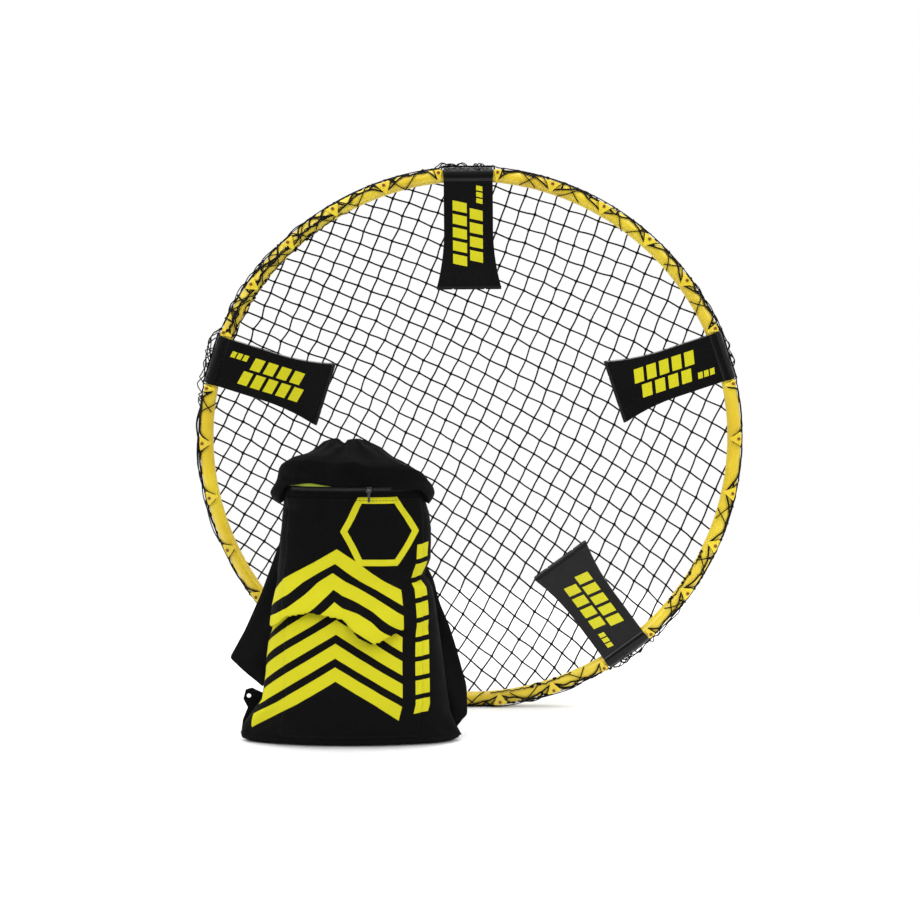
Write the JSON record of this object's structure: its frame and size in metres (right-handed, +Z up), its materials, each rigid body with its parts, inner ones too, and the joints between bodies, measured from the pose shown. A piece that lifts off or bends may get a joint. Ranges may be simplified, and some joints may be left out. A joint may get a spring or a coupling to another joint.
{
  "type": "roundnet set",
  "caption": "Roundnet game set: a sectional yellow rim with a knotted black net, fold-out legs, and a black drawstring backpack that holds the balls.",
  "frame": {"origin": "on the floor, under the middle of the whole set's bounding box", "axes": "+Z up, +X to the right along the face of the ring, +Y from the bag towards the ring, so -Y is the side the legs and hooks face"},
  "size_m": [0.9179, 0.343, 0.9169],
  "materials": {
    "rim_plastic": "golden yellow moulded tube with a soft sheen",
    "hook_plastic": "golden yellow moulded hooks",
    "coupler_plastic": "black moulded journal",
    "leg_plastic": "satin black moulded plastic with lemon yellow printed bars",
    "pad_rubber": "matt black rubber sole",
    "screw_steel": "dark bronze coated screw",
    "net_cord": "black knotted and twisted cord",
    "bag_cloth": "black plain-weave polyester",
    "pocket_cloth": "black plain-weave polyester with a lemon yellow print",
    "zip_nylon": "black nylon zip",
    "zip_metal": "dull steel",
    "strap_webbing": "black woven webbing",
    "ball_rubber": "yellow dimpled rubber"
  },
  "bodies": {
    "ring": {"rim_tube_1": "rim_plastic", "rim_tube_2": "rim_plastic", "rim_tube_3": "rim_plastic", "rim_tube_4": "rim_plastic", "rim_tube_5": "rim_plastic", "rim_coupler_1": "coupler_plastic", "rim_coupler_2": "coupler_plastic", "rim_coupler_3": "coupler_plastic", "rim_coupler_4": "coupler_plastic", "rim_coupler_5": "coupler_plastic", "rim_hooks_1": "hook_plastic", "rim_hooks_2": "hook_plastic", "rim_hooks_3": "hook_plastic", "rim_hooks_4": "hook_plastic", "rim_hooks_5": "hook_plastic", "hook_screws": "screw_steel", "net_bed": "net_cord", "net_edge": "net_cord"},
    "leg_1_body": {"leg_1": "leg_plastic", "foot_pad_1": "pad_rubber"},
    "leg_2_body": {"leg_2": "leg_plastic", "foot_pad_2": "pad_rubber"},
    "leg_3_body": {"leg_3": "leg_plastic", "foot_pad_3": "pad_rubber"},
    "leg_4_body": {"leg_4": "leg_plastic", "foot_pad_4": "pad_rubber"},
    "leg_5_body": {"leg_5": "leg_plastic", "foot_pad_5": "pad_rubber"},
    "bag": {"bag_body": "bag_cloth", "bag_collar": "bag_cloth", "bag_pocket": "pocket_cloth", "draw_cord": "net_cord", "zip_tape": "zip_nylon", "strap_left": "strap_webbing", "strap_right": "strap_webbing", "corner_tab_left": "strap_webbing", "corner_tab_right": "strap_webbing", "ball_1": "ball_rubber", "ball_2": "ball_rubber", "ball_3": "ball_rubber"},
    "zip_slider_body": {"zip_slider": "zip_metal"},
    "zip_pull_body": {"zip_pull": "zip_metal"}
  },
  "joints": [
    {"name": "leg_1_fold", "type": "hinge", "parent": "ring", "child": "leg_1_body", "pos_m": [-0.00387, 0.1575, 0.90253], "axis": [-1, 0, -0.0087], "range_deg": [0, 90]},
    {"name": "leg_2_fold", "type": "hinge", "parent": "ring", "child": "leg_2_body", "pos_m": [0.42062, 0.1575, 0.59974], "axis": [-0.3173, 0, 0.9483], "range_deg": [0, 90]},
    {"name": "leg_3_fold", "type": "hinge", "parent": "ring", "child": "leg_3_body", "pos_m": [0.26383, 0.1575, 0.10245], "axis": [0.8039, 0, 0.5948], "range_deg": [0, 90]},
    {"name": "leg_4_fold", "type": "hinge", "parent": "ring", "child": "leg_4_body", "pos_m": [-0.25757, 0.1575, 0.0979], "axis": [0.8141, 0, -0.5807], "range_deg": [0, 90]},
    {"name": "leg_5_fold", "type": "hinge", "parent": "ring", "child": "leg_5_body", "pos_m": [-0.42302, 0.1575, 0.59238], "axis": [-0.3007, 0, -0.9537], "range_deg": [0, 90]},
    {"name": "bag_lift", "type": "slide", "parent": "ring", "child": "bag", "axis": [0, 0, 1], "range_m": [0, 0.6]},
    {"name": "zip_travel", "type": "slide", "parent": "bag", "child": "zip_slider_body", "axis": [1, 0, 0], "range_m": [-0.12, 0.06]},
    {"name": "zip_pull_swing", "type": "hinge", "parent": "zip_slider_body", "child": "zip_pull_body", "pos_m": [-0.16, -0.15682, 0.416], "axis": [-1, 0, 0], "range_deg": [0, 140]}
  ]
}
